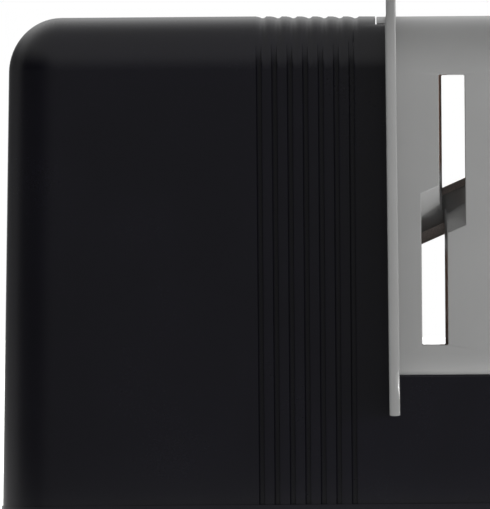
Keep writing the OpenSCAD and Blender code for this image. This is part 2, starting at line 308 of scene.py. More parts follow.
@dataclass(frozen=True)
class MouldedPlastic(Finish):
    """Moulded plastic with the fine grain of an eroded mould, faint flow clouds and scuffs."""

    colour: tuple = (0.255, 0.255, 0.253)
    cloud: float = 0.025
    cloud_pitch: float = 9.0
    cloud_span: tuple = (0.25, 0.75)
    roughness: float = 0.3
    rough_spread: float = 0.05
    grain_pitch: float = 0.2
    grain_depth: float = 0.0025
    wave_pitch: float = 4.0
    wave: float = 0.5
    scuff: float = 0.3
    streak_pitch: float = 0.5
    streak_stretch: tuple = (1.0, 1.0, 0.3)
    streak_span: tuple = (0.68, 0.8)
    patch_pitch: float = 6.0
    patch_span: tuple = (0.5, 0.72)
    worn_gain: float = 1.25
    worn_lift: float = 0.012

    def painted_shade(self, board: Board, at: Flow) -> Optional[tuple]:
        """Share and colour of a painted shade layer; plain mouldings have none."""
        return None

    def draw(self, board: Board) -> None:
        """Colour = base times clouds plus sparse scuffs; relief = grain over a faint waviness.

        Args:
            board: the material's nodes.
        """
        at = board.places()
        clouds = board.noise(at, self.cloud_pitch, detail=3.0)
        grain = board.noise(at, self.grain_pitch, detail=3.0, rough=0.6)
        streaks = board.noise(board.stretched(at, self.streak_stretch), self.streak_pitch)
        scuffs = streaks.step(*self.streak_span) * board.noise(at, self.patch_pitch).step(*self.patch_span)
        low, high = (toned(level, self.colour) for level in (1.0 - self.cloud, 1.0 + self.cloud))
        body = board.blend(clouds.step(*self.cloud_span), low, high)
        worn = tuple(min(1.0, c * self.worn_gain + self.worn_lift) for c in self.colour) + (1.0,)
        # A finish's dull layer, where it has one, is painted shade.
        board.surface(
            self.painted_shade(board, at),
            Base_Color=board.blend(scuffs * self.scuff, body, worn),
            Roughness=self.roughness + (grain - 0.5) * self.rough_spread + (clouds - 0.5) * self.rough_spread,
            Normal=board.bump(grain + board.noise(at, self.wave_pitch) * self.wave, self.grain_depth),
        )


@dataclass(frozen=True)
class HeadPlastic(MouldedPlastic):
    """The head's plastic: a dull brown tint is painted on the blade slot's inner walls as their shade."""

    # Painted shade: a dull brown tint in patches for the shaded inner walls of the blade slot.
    shade_colour: tuple = toned(0.21, (1.5, 0.92, 0.68))
    shade_least: float = 0.7
    shade_pitch: float = 1.2
    shade_span: tuple = (0.3, 0.6)
    slot_middle: tuple = (18.5, 0.0, 34.85)
    slot_half: tuple = (0.5, 14.5, 15.4)
    slot_fade: tuple = ((0.0, 0.03), (0.1, 0.5), (0.0, 0.1))
    lead_in: tuple = (3.5, 5.5)

    def painted_shade(self, board: Board, at: Flow) -> Optional[tuple]:
        """Share of the painted shade = within the walls' narrow box, behind either face and clear of the
        lead-ins.

        Args:
            board: the material's nodes.
            at: the point on the piece.

        Returns:
            The painted shade's share and its colour.
        """
        away = [abs(part - middle * MM) for part, middle in zip(board.axes(at), self.slot_middle)]
        patches = board.noise(at, self.shade_pitch, detail=3.0).step(*self.shade_span)
        share = mixed(self.shade_least, 1.0, patches) * away[2].step(*(end * MM for end in self.lead_in))
        for distance, half, (low, high) in zip(away, self.slot_half, self.slot_fade):
            share = share * (half * MM - distance).step(low * MM, high * MM)
        return share, self.shade_colour


@dataclass(frozen=True)
class Clouded(Finish):
    """A plain surface with a soft cloud over its colour and fine marks, each given as noise takes it."""

    colours: tuple
    roughness: float
    cloud: tuple
    cloud_span: tuple
    marks: tuple
    cloud_rough: float = 0.0
    mark_rough: float = 0.0
    mark_stretch: tuple = (1.0, 1.0, 1.0)
    mark_depth: float = 0.006
    metallic: float = 0.0

    def draw(self, board: Board) -> None:
        """Colour follows the cloud, roughness the cloud and the marks; the relief is the marks.

        Args:
            board: the material's nodes.
        """
        at = board.places()
        cloud = board.noise(at, *self.cloud).step(*self.cloud_span)
        marks = board.noise(board.stretched(at, self.mark_stretch), *self.marks)
        board.surface(
            Base_Color=board.blend(cloud, *self.colours),
            Metallic=self.metallic,
            Roughness=self.roughness + cloud * self.cloud_rough + marks * self.mark_rough,
            Normal=board.bump(marks, self.mark_depth),
        )


BLACK_PLASTIC = MouldedPlastic(
    "black_satin_plastic",
    Slot.BLACK,
    colour=(0.003, 0.0027, 0.006),
    cloud=0.12,
    roughness=0.26,
    grain_pitch=0.22,
    grain_depth=0.0015,
    scuff=0.25,
)
GREY_PLASTIC = MouldedPlastic("grey_satin_plastic", Slot.GREY)
HEAD_PLASTIC = HeadPlastic("grey_head_plastic", Slot.GREY)
FOOT_RUBBER = Clouded(
    "foot_rubber",
    Slot.RUBBER,
    colours=(toned(0.012), toned(0.0264)),
    roughness=0.72,
    cloud=(1.6, 4.0),
    cloud_span=(0.35, 0.75),
    marks=(0.12,),
    cloud_rough=0.16,
)
ZINC = Clouded(
    "zinc_steel",
    Slot.STEEL,
    colours=(toned(0.6, (1.0, 1.0, 1.03)), toned(0.432, (1.02, 1.0, 0.94))),
    roughness=0.26,
    cloud=(0.9, 4.0),
    cloud_span=(0.4, 0.7),
    marks=(0.25,),
    cloud_rough=0.2,
    mark_rough=0.06,
    mark_stretch=(1.0, 1.0, 6.0),
    metallic=1.0,
)
CERAMIC = Clouded(
    "fired_ceramic",
    Slot.CERAMIC,
    colours=(toned(0.496, (1.1, 0.96, 0.88)), toned(0.744, (1.1, 0.96, 0.88))),
    roughness=0.5,
    cloud=(0.16, 3.0, 0.65),
    cloud_span=(0.3, 0.75),
    marks=(0.16, 3.0, 0.65),
    mark_rough=0.16,
)


# Surfaces


def quads(rows: int, cols: int, ring: bool = False) -> np.ndarray:
    """Faces of a grid whose points are numbered row by row.

    Args:
        rows: the number of rows.
        cols: the number of points in a row.
        ring: joins each row's last point to its first.

    Returns:
        An array of four corner numbers a face.
    """
    i, j = np.meshgrid(np.arange(rows - 1), np.arange(cols if ring else cols - 1), indexing="ij")
    k = (j + 1) % cols
    return np.stack([i * cols + j, (i + 1) * cols + j, (i + 1) * cols + k, i * cols + k], -1).reshape(-1, 4)


@dataclass
class Shell:
    """A surface: points in millimetres, and faces as corner numbers."""

    points: np.ndarray
    faces: np.ndarray

    @classmethod
    def grid(cls, points: np.ndarray, ring: bool = False) -> Shell:
        """The surface over an array of rows of points."""
        rows, cols = points.shape[:2]
        return cls(points.reshape(-1, 3), quads(rows, cols, ring))

    @classmethod
    def together(cls, shells: Sequence[Shell]) -> Shell:
        """Several surfaces as one."""
        starts = np.cumsum([0] + [len(shell.points) for shell in shells[:-1]])
        faces = [shell.faces + start for shell, start in zip(shells, starts)]
        return cls(np.vstack([shell.points for shell in shells]), np.vstack(faces))

    def placed(self, turn: Sequence[Sequence[float]], shift: Sequence[float]) -> Shell:
        """The surface turned by a matrix and then moved."""
        return Shell(self.points @ np.asarray(turn, float).T + np.asarray(shift, float), self.faces)

    def along_rod(self) -> Shell:
        """The surface with its Z laid along the rod's axis and its origin in the rod's middle."""
        rise, run = math.sin(math.radians(ROD_TILT)), math.cos(math.radians(ROD_TILT))
        return self.placed([[-rise, 0.0, run], [0.0, 1.0, 0.0], [run, 0.0, rise]], ROD_MIDDLE)

    def mesh(self, name: str) -> Mesh:
        """Makes the mesh: merges double points, fills open rings and turns the faces outwards.

        Args:
            name: the mesh's name.

        Returns:
            The closed mesh, in metres.
        """
        made = bpy.data.meshes.new(name)
        made.from_pydata((self.points * MM).tolist(), [], self.faces.tolist())
        work = bmesh.new()
        work.from_mesh(made)
        bmesh.ops.remove_doubles(work, verts=work.verts, dist=SAME_POINT)
        bmesh.ops.dissolve_degenerate(work, edges=work.edges, dist=SAME_POINT / 10.0)
        open_edges = [e for e in work.edges if e.is_boundary]
        if open_edges:
            bmesh.ops.holes_fill(work, edges=open_edges, sides=0)
        bmesh.ops.recalc_face_normals(work, faces=work.faces)
        work.to_mesh(made)
        work.free()
        return made

    def piece(self, name: str) -> Object:
        """Makes the mesh and an object for it at the origin."""
        return added(name, self.mesh(name))


def added(name: str, data: ID) -> Object:
    """Makes an object for a mesh, a lamp or a camera and links it to the scene."""
    made = bpy.data.objects.new(name, data)
    bpy.context.scene.collection.objects.link(made)
    return made


def arc(start: float, stop: float, count: int) -> np.ndarray:
    """Angles from start to stop, given in degrees, in radians."""
    return np.radians(np.linspace(start, stop, count))


def quarter(radius: float, count: int) -> tuple:
    """Offsets over a quarter circle: a slow rise from 0 to the radius, and a quick fall from it to 0."""
    turn = arc(0.0, 90.0, count)
    return radius * (1.0 - np.cos(turn)), radius * (1.0 - np.sin(turn))


def ramp(value: np.ndarray, start: float, stop: float) -> np.ndarray:
    """Straight step from 0 at start to 1 at stop."""
    return np.clip((value - start) / (stop - start), 0.0, 1.0)


def mirrored(half: np.ndarray) -> np.ndarray:
    """A line of (Y, Z) points that ends at Y = 0, followed by its mirror image."""
    return np.concatenate([half, half[..., -2::-1, :] * np.array([-1.0, 1.0])], -2)


def revolved(profile: Sequence[Sequence[float]], around: int = 48) -> Shell:
    """Surface of revolution about Z: a profile of (radius, height) carried round a full circle."""
    turn = np.linspace(0.0, 2.0 * math.pi, around, endpoint=False)
    r, z = (column[:, None] for column in np.asarray(profile, float).T)
    return Shell.grid(np.stack([r * np.cos(turn), r * np.sin(turn), z + 0.0 * turn], -1), ring=True)


def modified(piece: Object, kind: str, **settings: object) -> None:
    """Adds a modifier to a piece and applies it to the mesh.

    Args:
        piece: the object.
        kind: the modifier's type.
        settings: the modifier's properties.
    """
    change = piece.modifiers.new(kind.lower(), kind)
    for key, value in settings.items():
        setattr(change, key, value)
    bpy.context.view_layer.update()
    shown = piece.evaluated_get(bpy.context.evaluated_depsgraph_get())
    made = bpy.data.meshes.new_from_object(shown)
    old = piece.data
    piece.modifiers.clear()
    piece.data = made
    made.name = piece.name
    bpy.data.meshes.remove(old)


def welded(piece: Object, reach: float, straight: float = 3.4) -> None:
    """Merges a piece's close points, and drops slivers and needless points on straight edges.

    Args:
        piece: the object.
        reach: the distance within which points are merged.
        straight: the bend up to which an edge counts as straight.
    """
    work = bmesh.new()
    work.from_mesh(piece.data)
    bmesh.ops.remove_doubles(work, verts=work.verts, dist=reach * MM)
    bmesh.ops.dissolve_degenerate(work, dist=reach * MM, edges=work.edges)
    bend = math.radians(straight)
    bmesh.ops.dissolve_limit(work, angle_limit=bend, verts=work.verts, edges=[], delimit=set())
    work.to_mesh(piece.data)
    work.free()


def carved(piece: Object, cutters: Iterable[Shell]) -> None:
    """Cuts spaces out of a piece, one after the other.

    Args:
        piece: the object.
        cutters: the spaces' closed surfaces.
    """
    for shell in cutters:
        tool = shell.piece("cutter")
        modified(piece, "BOOLEAN", operation="DIFFERENCE", solver="EXACT", object=tool)
        spare = tool.data
        bpy.data.objects.remove(tool)
        bpy.data.meshes.remove(spare)
    welded(piece, reach=0.01)


def pulled(items: bpy.types.bpy_prop_collection, name: str, kind: type = int) -> np.ndarray:
    """Reads one property of all of a mesh's points, edges, loops or faces.

    Args:
        items: the mesh's points, edges, loops or faces.
        name: the property.
        kind: the type of its numbers.

    Returns:
        An array with a row for each item.
    """
    width = np.size(getattr(items[0], name))
    values = np.empty(width * len(items), kind)
    items.foreach_get(name, values)
    return values.reshape(-1, width)


def rimmed(piece: Object, plane: float, width: float, flat: float = 0.9) -> None:
    """Rounds the rims of the openings in a flat face: edges in its plane that border a wall.

    Args:
        piece: the object.
        plane: the face's Y.
        width: the rounding's width.
        flat: the share of Y in a face's normal from which it is no wall.
    """
    mesh = piece.data
    away = np.abs(pulled(mesh.vertices, "co", float)[:, 1] - plane * MM)
    level = away[pulled(mesh.edges, "vertices")].max(1) < SAME_POINT
    steep = np.abs(pulled(mesh.polygons, "normal", float)[:, 1]) < flat
    corners = np.repeat(steep, pulled(mesh.polygons, "loop_total")[:, 0])
    wall = np.zeros(len(mesh.edges), bool)
    wall[pulled(mesh.loops, "edge_index")[corners, 0]] = True
    share = mesh.attributes.new("bevel_weight_edge", "FLOAT", "EDGE")
    share.data.foreach_set("value", (level & wall).astype(np.float32))
    modified(piece, "BEVEL", width=width * MM, segments=3, limit_method="WEIGHT", use_clamp_overlap=False)


def softened(piece: Object, width: float = 0.0, segments: int = 3, corner: float = 35.0) -> None:
    """Rounds a piece's sharp edges and evens its shading.

    Args:
        piece: the object.
        width: the rounding's width, or 0 for shading alone.
        segments: the faces across a rounding.
        corner: the angle from which an edge is rounded; it is shaded as sharp from 10 degrees more.
    """
    if width:
        bend = math.radians(corner)
        modified(piece, "BEVEL", width=width * MM, segments=segments, limit_method="ANGLE", angle_limit=bend)
    welded(piece, reach=0.002)
    piece.data.polygons.foreach_set("use_smooth", np.ones(len(piece.data.polygons), bool))
    piece.data.set_sharp_from_angle(angle=math.radians(corner + 10.0))
    even = piece.modifiers.new("shading", "WEIGHTED_NORMAL")
    even.keep_sharp = True
    even.weight = 60


# The sub-assemblies


class Assembly:
    """A sub-assembly: pieces in one finish on one body."""

    finish: Finish
    body = Body.SHARPENER

    def build(self) -> Iterable[tuple]:
        """Makes the pieces, each with the node that it stands for."""
        raise NotImplementedError

    def dress(self) -> None:
        """Builds the pieces, gives each its finish and its body, and hides the node it stands for."""
        for piece, node in self.build():
            piece.data.materials.clear()
            piece.data.materials.append(self.finish.make())
            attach(piece, self.body.value)
            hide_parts(node)
            LOG.info("%s: %d faces, %s, for %s", piece.name, len(piece.data.polygons), self.finish.name, node)


@dataclass
class GripHousing(Assembly):
    """The black moulding: a tall ribbed grip and the low plinth under the head."""

    finish = BLACK_PLASTIC
    half_foot: float = 30.45
    grip_foot: float = 30.6
    half_depth: float = 13.5
    foot_z: float = 2.4
    plinth_z: float = 16.7
    top_z: float = 56.5
    edge: float = 6.0
    edge_points: int = 25
    lean: float = 1.0
    grip_lean: float = 1.22
    lean_from: tuple = (-3.0, 14.0)
    shoulder: float = 0.3
    shoulder_points: int = 5
    guard_x: float = 12.36
    step_x: float = 11.05
    step_z: float = 55.5
    groove_first: float = 8.45
    groove_pitch: float = 1.71
    groove_count: int = 7
    groove_depth: float = 0.45
    groove_across: tuple = (-0.32, -0.28, -0.1, 0.1, 0.26, 0.3, 0.38, 0.6, 0.85)
    groove_down: tuple = (0.0, 1.0, 0.91, 0.91, 0.91, 0.12, 0.0, 0.0, 0.0)
    groove_top: tuple = (0.0, 0.05, 0.09, 0.22, 0.36, 0.4, 0.44, 0.4, 0.0)
    groove_blend: tuple = (0.05, 0.5)
    fall: float = 0.1
    fall_span: tuple = (-2.0, 11.0)

    def grip_half(self, inset: np.ndarray, drop: np.ndarray) -> np.ndarray:
        """Front half of the grip's section, foot to top middle.

        The front line stands at the half depth less the inset. A quarter circle
        leads to the top line; its radius goes from the edge radius less the
        inset to the edge radius less the drop, over its lower part.

        Args:
            inset: one inset for each station.
            drop: how far each station's top line lies below the top.

        Returns:
            Stations by points by (Y, Z).
        """
        inset, drop = inset[:, None], drop[:, None]
        shoulder = self.plinth_z - self.shoulder * np.linspace(1.0, 0.0, self.shoulder_points)
        lift = np.r_[self.foot_z, shoulder]
        turn = arc(0.0, 90.0, self.edge_points)
        r = self.edge - inset - (drop - inset) * ramp(np.sin(turn), *self.groove_blend)
        bend = self.edge - self.half_depth - r * np.cos(turn)
        y = np.hstack([inset - self.half_depth + 0.0 * lift, bend, 0.0 * inset])
        z = np.hstack([lift + 0.0 * inset, self.top_z - self.edge + r * np.sin(turn), self.top_z - drop])
        return np.stack([y, z], -1)

    def plinth_half(self, half: np.ndarray) -> np.ndarray:
        """Front half of the plinth's section: front line, small round shoulder, top line.

        Args:
            half: one half depth for each station.

        Returns:
            Stations by points by (Y, Z), as many points as the grip's half.
        """
        half = half[:, None]
        turn = arc(0.0, 90.0, self.shoulder_points)
        inward = (half - self.shoulder) * np.linspace(1.0, 0.0, self.edge_points + 2)[1:]
        y = np.hstack([-half, -half + self.shoulder * (1.0 - np.cos(turn)), -inward])
        low = self.plinth_z - self.shoulder + self.shoulder * np.sin(turn)
        z = np.r_[self.foot_z, low, np.full(self.edge_points + 1, self.plinth_z)] + 0.0 * half
        return np.stack([y, z], -1)

    def skin(self) -> Shell:
        """The section carried along X, through the rounded end, the grooves and the step to the plinth.

        A station's inset follows a quarter circle at the grip's end and the
        groove's outline at each groove, which is shallower along the top. The
        plinth's half depth follows a quarter circle at its end. The top falls a
        hair towards the guard. Both ends lean in by a shear in X.

        Returns:
            The closed surface.
        """
        slow, quick = quarter(self.edge, CORNER_POINTS)
        mids = self.groove_first - self.groove_pitch * np.arange(self.groove_count)[::-1]
        grooves = (mids[:, None] + np.asarray(self.groove_across)).ravel()
        x = np.r_[-self.grip_foot, slow - self.grip_foot, grooves, self.step_x, self.step_x, self.guard_x]
        outlines = (np.tile(row, self.groove_count) for row in (self.groove_down, self.groove_top))
        inset, drop = (np.r_[self.edge, quick, self.groove_depth * row, 0.0, 0.0, 0.0] for row in outlines)
        grip = self.grip_half(inset, drop + self.fall * ramp(x, *self.fall_span))
        grip[-2:, :, 1] = np.minimum(grip[-2:, :, 1], self.step_z)
        grip[0, :, 0] = 0.0
        far = np.r_[self.guard_x, self.half_foot - quick, self.half_foot]
        plinth = self.plinth_half(self.half_depth - np.r_[0.0, slow, 0.0])
        plinth[-1, :, 0] = 0.0
        ring = mirrored(np.vstack([grip, plinth]))
        along = np.r_[x, far][:, None] + 0.0 * ring[..., 0]
        left = ramp(along, self.lean_from[0], -self.grip_foot) * math.tan(math.radians(self.grip_lean))
        right = ramp(along, self.lean_from[1], self.half_foot) * math.tan(math.radians(self.lean))
        lift = ring[..., 1] - self.foot_z
        return Shell.grid(np.dstack([along + lift * (left - right), ring]), ring=True)

    def build(self) -> Iterable[tuple]:
        """Makes the housing's piece."""
        piece = self.skin().piece("housing_skin")
        softened(piece)
        yield piece, "housing"


@dataclass
class SlottedHead(Assembly):
    """The grey head in two halves, with the Z-shaped slot, the rod's seat and the clamp screws' sinks."""

    finish = HEAD_PLASTIC
    near_x: float = 13.33
    far_x: float = 30.2
    half_depth: float = 14.5
    foot_z: float = 16.63
    top_z: float = 56.35
    edge: float = 6.0
    foot_round: tuple = (1.2, 2.3)
    lean: float = 1.0
    seat_radius: float = 2.46
    seat_span: tuple = (-4.08, 7.52)
    slot_z: float = 34.95
    outer: float = 2.46
    reach: tuple = (15.01, 14.89)
    draft: float = 0.06
    lap: tuple = (0.42, 0.12)
    lap_depth: tuple = (2.0, 6.0)
    corner: float = 0.16
    ramp_depth: tuple = (-1.6, 0.0, 1.2, 1.6, 2.0, 2.4, 3.0, 6.0, 14.5, 15.5)
    ramp_rise: tuple = (4.2, 2.6, 1.4, 1.04, 0.74, 0.54, 0.39, -0.18, -1.78, -1.78)
    ramp_twist: tuple = (1.0, 1.0, 1.25, 1.5, 1.65, 1.6, 1.4, 1.1, 1.0, 1.0)
    rim: float = 0.09
    sink_radius: float = 2.2
    sink_depth: float = 1.58
    sink_chamfer: float = 0.4

    def block(self, side: Side) -> Shell:
        """One half without its slot: an upright profile carried round the plan's outline.

        The outline runs from the guard along the face, round the far corner and
        to the parting plane. The profile's inset from it is a small quarter
        ellipse at the foot and a quarter circle of the edge radius at the top.

        Args:
            side: the half.

        Returns:
            The surface, open at the parting plane.
        """
        turn = arc(0.0, 90.0, CORNER_POINTS)
        out = np.stack([np.sin(turn), -np.cos(turn)], -1)
        start = [self.near_x, -self.half_depth]
        corner = np.array([self.far_x - self.edge, self.edge - self.half_depth]) + self.edge * out
        line = np.vstack([start, start, corner, [self.far_x, 0.0]])
        inward = np.vstack([[0.0, 1.0], [0.0, 1.0], -out, [-1.0, 0.0]])
        wide, high = self.foot_round
        slow, quick = quarter(1.0, count=9)
        inset = np.r_[wide, wide * quick, self.edge * (1.0 - np.cos(turn)), self.edge]
        shoulder = self.top_z - self.edge + self.edge * np.sin(turn)
        z = np.r_[self.foot_z, self.foot_z + high * slow, shoulder, self.top_z]
        xy = line[:, None, :] + inset[None, :, None] * inward[:, None, :]
        x, y = xy[..., 0], xy[..., 1]
        y[0] = 0.0
        y[:, [0, -1]] = 0.0
        lean = ramp(x, self.near_x, self.far_x) * math.tan(math.radians(self.lean))
        return Shell.grid(np.dstack([x - (z - self.foot_z) * lean, -side.value * y, z + 0.0 * x]))

    def arm(self, side: Side, arm: Arm) -> Shell:
        """The space of one slot arm in one half: a section carried from the face to the parting plane.

        The section is a box with two round corners. Its end at the rod is
        tilted like the rod, more so half way in, and follows the lead-in's
        rise. Its inner wall draws in between two depths, and its far end draws
        out a little towards the rear. The upper arm is the lower one turned
        half round.

        Args:
            side: the half.
            arm: the arm.

        Returns:
            The closed cutter.
        """
        rows = (self.ramp_depth, self.ramp_rise, self.ramp_twist)
        depth, rise, twist = (np.asarray(row)[:, None] for row in rows)
        tilt = math.radians(ROD_TILT)
        slope = math.tan(tilt) * twist
        rise = rise / math.cos(tilt) + slope - math.tan(tilt)
        inner = self.lap[0] + (self.lap[1] - self.lap[0]) * ramp(depth, *self.lap_depth)
        lower, upper = self.reach
        reach = upper if arm is Arm.UPPER else lower
        end = -reach - self.draft * (1.0 + side.value * (1.0 - depth / self.half_depth))
        slow, quick = quarter(self.corner, count=6)
        x = np.hstack([0.0 * depth - self.outer, inner, inner - slow, -self.outer + quick + 0.0 * depth])
        z = np.hstack([rise - self.outer * slope, rise + inner * slope, end + quick, end + slow])
        y = side.value * (self.half_depth - depth) + 0.0 * x
        flip = -float(arm.value)
        return Shell.grid(np.dstack([ROD_MIDDLE[0] + flip * x, y, self.slot_z + flip * z]), ring=True)

    def seat(self) -> Shell:
        """The rod's seat: a cylinder along the rod's axis."""
        r, (low, high) = self.seat_radius, self.seat_span
        return revolved([(0.0, low), (r, low), (r, high), (0.0, high)], ROD_POINTS).along_rod()

    def sinks(self) -> Shell:
        """The sunk seats of the two clamp screws in the rear face, with a chamfered mouth."""
        r, deep = self.sink_radius, self.sink_depth
        wide, mouth = r + self.sink_chamfer, deep + self.sink_chamfer
        hole = revolved([(0.0, 0.0), (r, 0.0), (r, deep), (wide, mouth), (0.0, mouth)])
        turn = [[1.0, 0.0, 0.0], [0.0, 0.0, 1.0], [0.0, -1.0, 0.0]]
        return Shell.together([hole.placed(turn, place) for place in CLAMP_SCREWS])

    def build(self) -> Iterable[tuple]:
        """Makes both halves: blocks with the screws' sinks, the slot's arms and the rod's seat cut out."""
        for side in Side:
            node = f"head_{side.name.lower()}"
            piece = self.block(side).piece(f"{node}_skin")
            sinks = [self.sinks()] if side is Side.REAR else []
            carved(piece, sinks + [self.arm(side, arm) for arm in Arm] + [self.seat()])
            rimmed(piece, side.value * self.half_depth, self.rim)
            modified(piece, "TRIANGULATE", ngon_method="BEAUTY", min_vertices=5)
            softened(piece, corner=38.0)
            yield piece, node


@dataclass
class FingerGuard(Assembly):
    """The thin grey plate between the grip and the head, with a lip on the grip's top step."""

    finish = GREY_PLASTIC
    near_x: float = 12.29
    far_x: float = 13.45
    half: float = 18.5
    slant: float = 0.004
    slant_z: float = 35.0
    thin: float = 0.11
    thin_span: tuple = (56.0, 56.4)
    top_z: float = 61.5
    foot_z: float = 12.16
    corner: float = 11.0
    leg_corner: float = 0.06
    leg_inner: float = 13.6
    leg_gap: float = 0.05
    plinth_z: float = 16.75
    edge: float = 0.15
    edge_turn: float = 72.0
    far_edge: tuple = ((13.9, 0.03), (14.6, 0.2), (15.2, 0.44), (16.75, 0.44), (17.3, 0.12))
    crown: float = 0.07
    lip_x: float = 11.25
    lip_z: float = 55.55
    lip_corner: tuple = (7.5, 50.5)
    lip_radius: float = 5.85
    lip_sink: float = 0.4
    lip_edge: float = 0.12

    def plate(self) -> Shell:
        """The plate: a section with a rounded free edge carried along the guard's outline.

        The outline runs along a leg's foot, round its corner, up the front,
        round the top corner and on to the middle, then mirrored. Each section
        spans from the outline to a point of the inner line, which follows the
        leg's inner edge and then the plinth's top. The free edge's far side is
        rounder on the leg. The plate leans a little, and its fin above the lip
        is a hair thinner.

        Returns:
            The surface, open at the two legs' inner ends.
        """
        low, high = arc(0.0, 90.0, count=13), arc(0.0, 90.0, count=25)
        slow, quick = quarter(self.leg_corner, len(low))
        up, far = np.array(self.far_edge).T
        flat = np.full(len(up), 1.0)
        inward, lift = self.corner * (1.0 - np.cos(high)), self.corner * np.sin(high)
        out_y = np.r_[-self.leg_inner, quick - self.half, -self.half * flat, inward - self.half, 0.0]
        out_z = np.r_[self.foot_z, self.foot_z + slow, up, self.top_z - self.corner + lift, self.top_z]
        way_y = np.r_[0.0, -np.sin(low), -flat, -np.cos(high), 0.0]
        way_z = np.r_[-1.0, -np.cos(low), 0.0 * flat, np.sin(high), 1.0]
        foot = self.foot_z + self.edge + self.crown + self.leg_gap
        leg = np.linspace(foot, self.plinth_z, len(low) + len(up) + 1)
        top = -self.leg_inner * np.linspace(1.0, 0.0, len(high) + 2)[1:]
        in_y = np.r_[np.full(len(leg), -self.leg_inner), top]
        in_z = np.r_[leg, np.full(len(top), self.plinth_z)]
        pairs = ((out_y, out_z), (way_y, way_z), (in_y, in_z))
        outer, way, inner = (mirrored(np.stack(pair, -1)) for pair in pairs)
        turn, half = arc(0.0, self.edge_turn, count=5), (self.far_x - self.near_x) / 2.0
        far_edge = np.interp(outer[:, 1], up, far)[:, None]
        left = self.edge * (1.0 - np.cos(turn)) - half + 0.0 * far_edge
        right = half - far_edge * (1.0 - np.cos(turn[::-1]))
        between = left[:, -1:] + (right[:, :1] - left[:, -1:]) * np.linspace(0.0, 1.0, 9)[1:-1]
        across = np.hstack([left, between, right])
        edge = np.where(across < 0.0, self.edge, far_edge)
        bend = np.clip((np.abs(across) - half) / edge + 1.0, 0.0, 1.0)
        back = self.crown * (across / half) ** 2 + edge * (1.0 - np.sqrt(1.0 - bend**2))
        none = 0.0 * far_edge
        x = np.hstack([self.near_x + none, self.near_x + half + across, self.far_x + none])
        rim = outer[:, None, :] - back[:, :, None] * way[:, None, :]
        yz = np.concatenate([inner[:, None, :], rim, inner[:, None, :]], 1)
        fin = self.thin * ramp(yz[..., 1], *self.thin_span) * (x < self.near_x + half)
        lean = self.slant * (self.slant_z - yz[..., 1])
        return Shell.grid(np.dstack([x + (lean + fin), yz]), ring=True)

    def lip(self) -> Shell:
        """The lip: the top of the grip's section, above the step, carried along X into the guard."""
        start = math.degrees(math.asin((self.lip_z - self.lip_corner[1]) / self.lip_radius))
        turn = arc(start, 90.0, count=10)
        y = self.lip_corner[0] + self.lip_radius * np.cos(turn)
        z = self.lip_corner[1] + self.lip_radius * np.sin(turn)
        ring = np.vstack([np.stack([-y, z], -1), np.stack([y, z], -1)[::-1]])
        x = np.array([self.lip_x, self.near_x + self.lip_sink])[:, None] + 0.0 * ring[:, 0]
        return Shell.grid(np.dstack([x, np.stack([ring, ring])]), ring=True)

    def build(self) -> Iterable[tuple]:
        """Makes the plate's and the lip's pieces."""
        shells = {"guard_plate": (self.plate(), 0.0), "guard_lip": (self.lip(), self.lip_edge)}
        for name, (shell, edge) in shells.items():
            piece = shell.piece(name)
            softened(piece, edge)
            yield piece, "finger_guard"


@dataclass
class CeramicRod(Assembly):
    """The tilted rod that the blades are drawn along."""

    finish = CERAMIC
    body = Body.ROD
    radius: float = 2.41
    span: tuple = (-3.98, 7.42)
    chamfer: float = 0.3
    edge: float = 0.05

    def build(self) -> Iterable[tuple]:
        """Makes the rod: a plain cylinder with chamfered ends, laid along its tilted axis."""
        r, c, (low, high) = self.radius, self.chamfer, self.span
        profile = [(0.0, low), (r - c, low), (r, low + c), (r, high - c), (r - c, high), (0.0, high)]
        piece = revolved(profile, ROD_POINTS).along_rod().piece("rod_skin")
        softened(piece, self.edge, segments=2, corner=30.0)
        yield piece, "ceramic_rod"


@dataclass
class FootSet(Assembly):
    """Four rubber feet, round pads with a soft edge and a dished underside."""

    finish = FOOT_RUBBER
    spread: tuple = (25.85, 8.9)
    radius: float = 3.5
    height: float = 1.6
    soft: float = 0.35
    dish: float = 0.12
    dish_radii: tuple = (1.3, 1.9)

    def build(self) -> Iterable[tuple]:
        """Makes the four feet: one dished profile carried round each foot's axis."""
        slow, quick = quarter(self.soft, count=7)
        floor, rim = self.dish_radii
        side = np.stack([self.radius - quick, slow], -1)
        below = [(0.0, self.dish), (floor, self.dish), (rim, 0.0)]
        foot = revolved(np.vstack([below, side, [(self.radius, self.height), (0.0, self.height)]]))
        for depth, y in (("front", -self.spread[1]), ("rear", self.spread[1])):
            for end, x in (("left", -self.spread[0]), ("right", self.spread[0])):
                node = f"foot_{depth}_{end}"
                piece = foot.placed(np.eye(3), (x, y, 0.0)).piece(f"{node}_skin")
                softened(piece)
                yield piece, node


